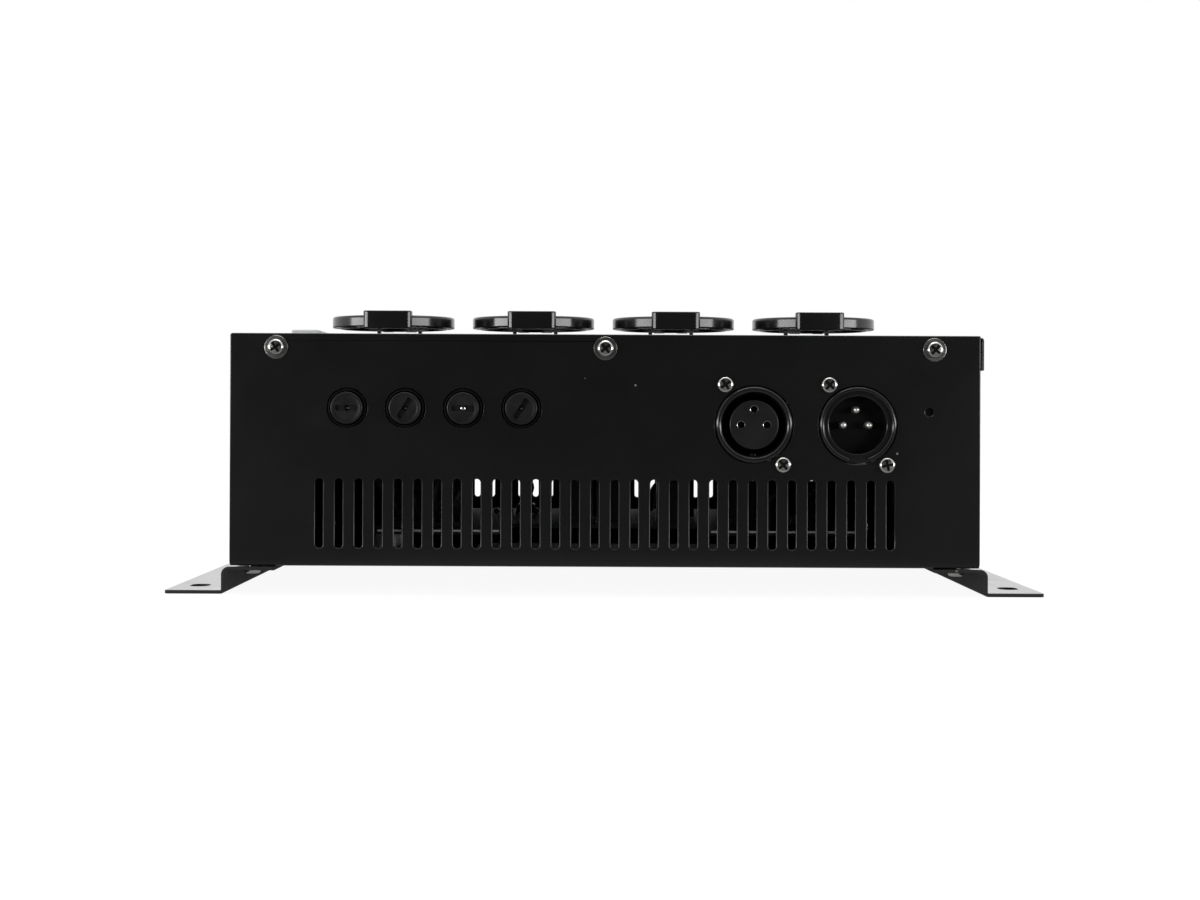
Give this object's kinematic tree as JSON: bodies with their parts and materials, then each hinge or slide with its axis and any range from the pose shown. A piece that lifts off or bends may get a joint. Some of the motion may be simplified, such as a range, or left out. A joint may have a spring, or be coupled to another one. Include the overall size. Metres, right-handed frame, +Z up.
{
  "type": "dmx switch pack",
  "caption": "Black sheet-steel switch pack with lidded sockets on top, fuse holders, three-pole connectors and vent slots in front, and slotted mounting brackets.",
  "frame": {"origin": "on the floor under the middle of the bounding box", "axes": "+Z up, -Y towards the connector panel, +X to the right seen from that panel"},
  "size_m": [0.28, 0.2522, 0.0949],
  "materials": {
    "powder_coat": "fine-textured black powder coat, semi-matt",
    "black_plastic": "black moulded plastic, satin",
    "insert_plastic": "black moulded plastic, dull",
    "gloss_black_plastic": "black moulded plastic, glossy",
    "grey_plastic": "light grey moulded plastic",
    "screw_steel": "bright zinc-plated steel",
    "contact_metal": "nickel-plated contact metal",
    "fuse_glass": "clear glass tube with metal end caps",
    "circuit_board": "green solder mask",
    "relay_plastic": "blue relay housing",
    "terminal_plastic": "green terminal housing",
    "core_steel": "varnished laminations",
    "display_window": "dark red display window"
  },
  "bodies": {
    "chassis": {"base_tray": "powder_coat", "top_cover": "powder_coat", "bracket_left": "powder_coat", "bracket_right": "powder_coat", "cover_screw_front_1": "screw_steel", "cover_screw_front_2": "screw_steel", "cover_screw_front_3": "screw_steel", "cover_screw_rear_1": "screw_steel", "cover_screw_rear_2": "screw_steel", "cover_screw_rear_3": "screw_steel", "xlr_screw_1": "screw_steel", "xlr_screw_2": "screw_steel", "xlr_screw_3": "screw_steel", "xlr_screw_4": "screw_steel", "xlr_female_shell": "black_plastic", "xlr_female_insert": "insert_plastic", "xlr_male_shell": "black_plastic", "xlr_male_insert": "insert_plastic", "xlr_male_pin_1": "contact_metal", "xlr_male_pin_2": "contact_metal", "xlr_male_pin_3": "contact_metal", "dmx_pcb": "circuit_board", "microphone": "contact_metal", "fuse_holder_1": "black_plastic", "fuse_holder_2": "black_plastic", "fuse_holder_3": "black_plastic", "fuse_holder_4": "black_plastic", "socket_insert_1": "gloss_black_plastic", "socket_insert_2": "gloss_black_plastic", "socket_insert_3": "gloss_black_plastic", "socket_insert_4": "gloss_black_plastic", "control_pcb": "circuit_board", "display_module": "display_window", "main_pcb": "circuit_board", "relay_1": "relay_plastic", "relay_2": "relay_plastic", "relay_3": "relay_plastic", "relay_4": "relay_plastic", "transformer": "core_steel", "capacitor": "black_plastic", "terminal_block": "terminal_plastic", "cable_gland": "black_plastic", "gland_nut": "black_plastic", "gland_locknut": "black_plastic"},
    "lid_1": {"socket_lid_1": "gloss_black_plastic"},
    "lid_2": {"socket_lid_2": "gloss_black_plastic"},
    "lid_3": {"socket_lid_3": "gloss_black_plastic"},
    "lid_4": {"socket_lid_4": "gloss_black_plastic"},
    "fuse_carrier_1": {"fuse_link_1": "fuse_glass"},
    "fuse_knob_1": {"fuse_cap_1": "black_plastic"},
    "fuse_carrier_2": {"fuse_link_2": "fuse_glass"},
    "fuse_knob_2": {"fuse_cap_2": "black_plastic"},
    "fuse_carrier_3": {"fuse_link_3": "fuse_glass"},
    "fuse_knob_3": {"fuse_cap_3": "black_plastic"},
    "fuse_carrier_4": {"fuse_link_4": "fuse_glass"},
    "fuse_knob_4": {"fuse_cap_4": "black_plastic"},
    "key_1": {"button_1": "grey_plastic"},
    "key_2": {"button_2": "grey_plastic"},
    "key_3": {"button_3": "grey_plastic"},
    "key_4": {"button_4": "grey_plastic"}
  },
  "joints": [
    {"name": "lid_1_hinge", "type": "hinge", "parent": "chassis", "child": "lid_1", "pos_m": [-0.07845, 0.0158, 0.0906], "axis": [-1, 0, 0], "range_deg": [0, 110], "stiffness_Nm_per_rad": 0.02, "springref_deg": -34.38},
    {"name": "lid_2_hinge", "type": "hinge", "parent": "chassis", "child": "lid_2", "pos_m": [-0.02615, 0.0158, 0.0906], "axis": [-1, 0, 0], "range_deg": [0, 110], "stiffness_Nm_per_rad": 0.02, "springref_deg": -34.38},
    {"name": "lid_3_hinge", "type": "hinge", "parent": "chassis", "child": "lid_3", "pos_m": [0.02615, 0.0158, 0.0906], "axis": [-1, 0, 0], "range_deg": [0, 110], "stiffness_Nm_per_rad": 0.02, "springref_deg": -34.38},
    {"name": "lid_4_hinge", "type": "hinge", "parent": "chassis", "child": "lid_4", "pos_m": [0.07845, 0.0158, 0.0906], "axis": [-1, 0, 0], "range_deg": [0, 110], "stiffness_Nm_per_rad": 0.02, "springref_deg": -34.38},
    {"name": "fuse_1_pull", "type": "slide", "parent": "chassis", "child": "fuse_carrier_1", "axis": [0, -1, 0], "range_m": [0, 0.034]},
    {"name": "fuse_1_turn", "type": "hinge", "parent": "fuse_carrier_1", "child": "fuse_knob_1", "pos_m": [-0.082, -0.1235, 0.0593], "axis": [0, -1, 0], "range_deg": [0, 90]},
    {"name": "fuse_2_pull", "type": "slide", "parent": "chassis", "child": "fuse_carrier_2", "axis": [0, -1, 0], "range_m": [0, 0.034]},
    {"name": "fuse_2_turn", "type": "hinge", "parent": "fuse_carrier_2", "child": "fuse_knob_2", "pos_m": [-0.06355, -0.1235, 0.0593], "axis": [0, -1, 0], "range_deg": [0, 90]},
    {"name": "fuse_3_pull", "type": "slide", "parent": "chassis", "child": "fuse_carrier_3", "axis": [0, -1, 0], "range_m": [0, 0.034]},
    {"name": "fuse_3_turn", "type": "hinge", "parent": "fuse_carrier_3", "child": "fuse_knob_3", "pos_m": [-0.0451, -0.1235, 0.0593], "axis": [0, -1, 0], "range_deg": [0, 90]},
    {"name": "fuse_4_pull", "type": "slide", "parent": "chassis", "child": "fuse_carrier_4", "axis": [0, -1, 0], "range_m": [0, 0.034]},
    {"name": "fuse_4_turn", "type": "hinge", "parent": "fuse_carrier_4", "child": "fuse_knob_4", "pos_m": [-0.02665, -0.1235, 0.0593], "axis": [0, -1, 0], "range_deg": [0, 90]},
    {"name": "button_1_press", "type": "slide", "parent": "chassis", "child": "key_1", "axis": [0, 0, -1], "range_m": [0, 0.0006], "stiffness_N_per_m": 500},
    {"name": "button_2_press", "type": "slide", "parent": "chassis", "child": "key_2", "axis": [0, 0, -1], "range_m": [0, 0.0006], "stiffness_N_per_m": 500},
    {"name": "button_3_press", "type": "slide", "parent": "chassis", "child": "key_3", "axis": [0, 0, -1], "range_m": [0, 0.0006], "stiffness_N_per_m": 500},
    {"name": "button_4_press", "type": "slide", "parent": "chassis", "child": "key_4", "axis": [0, 0, -1], "range_m": [0, 0.0006], "stiffness_N_per_m": 500}
  ]
}
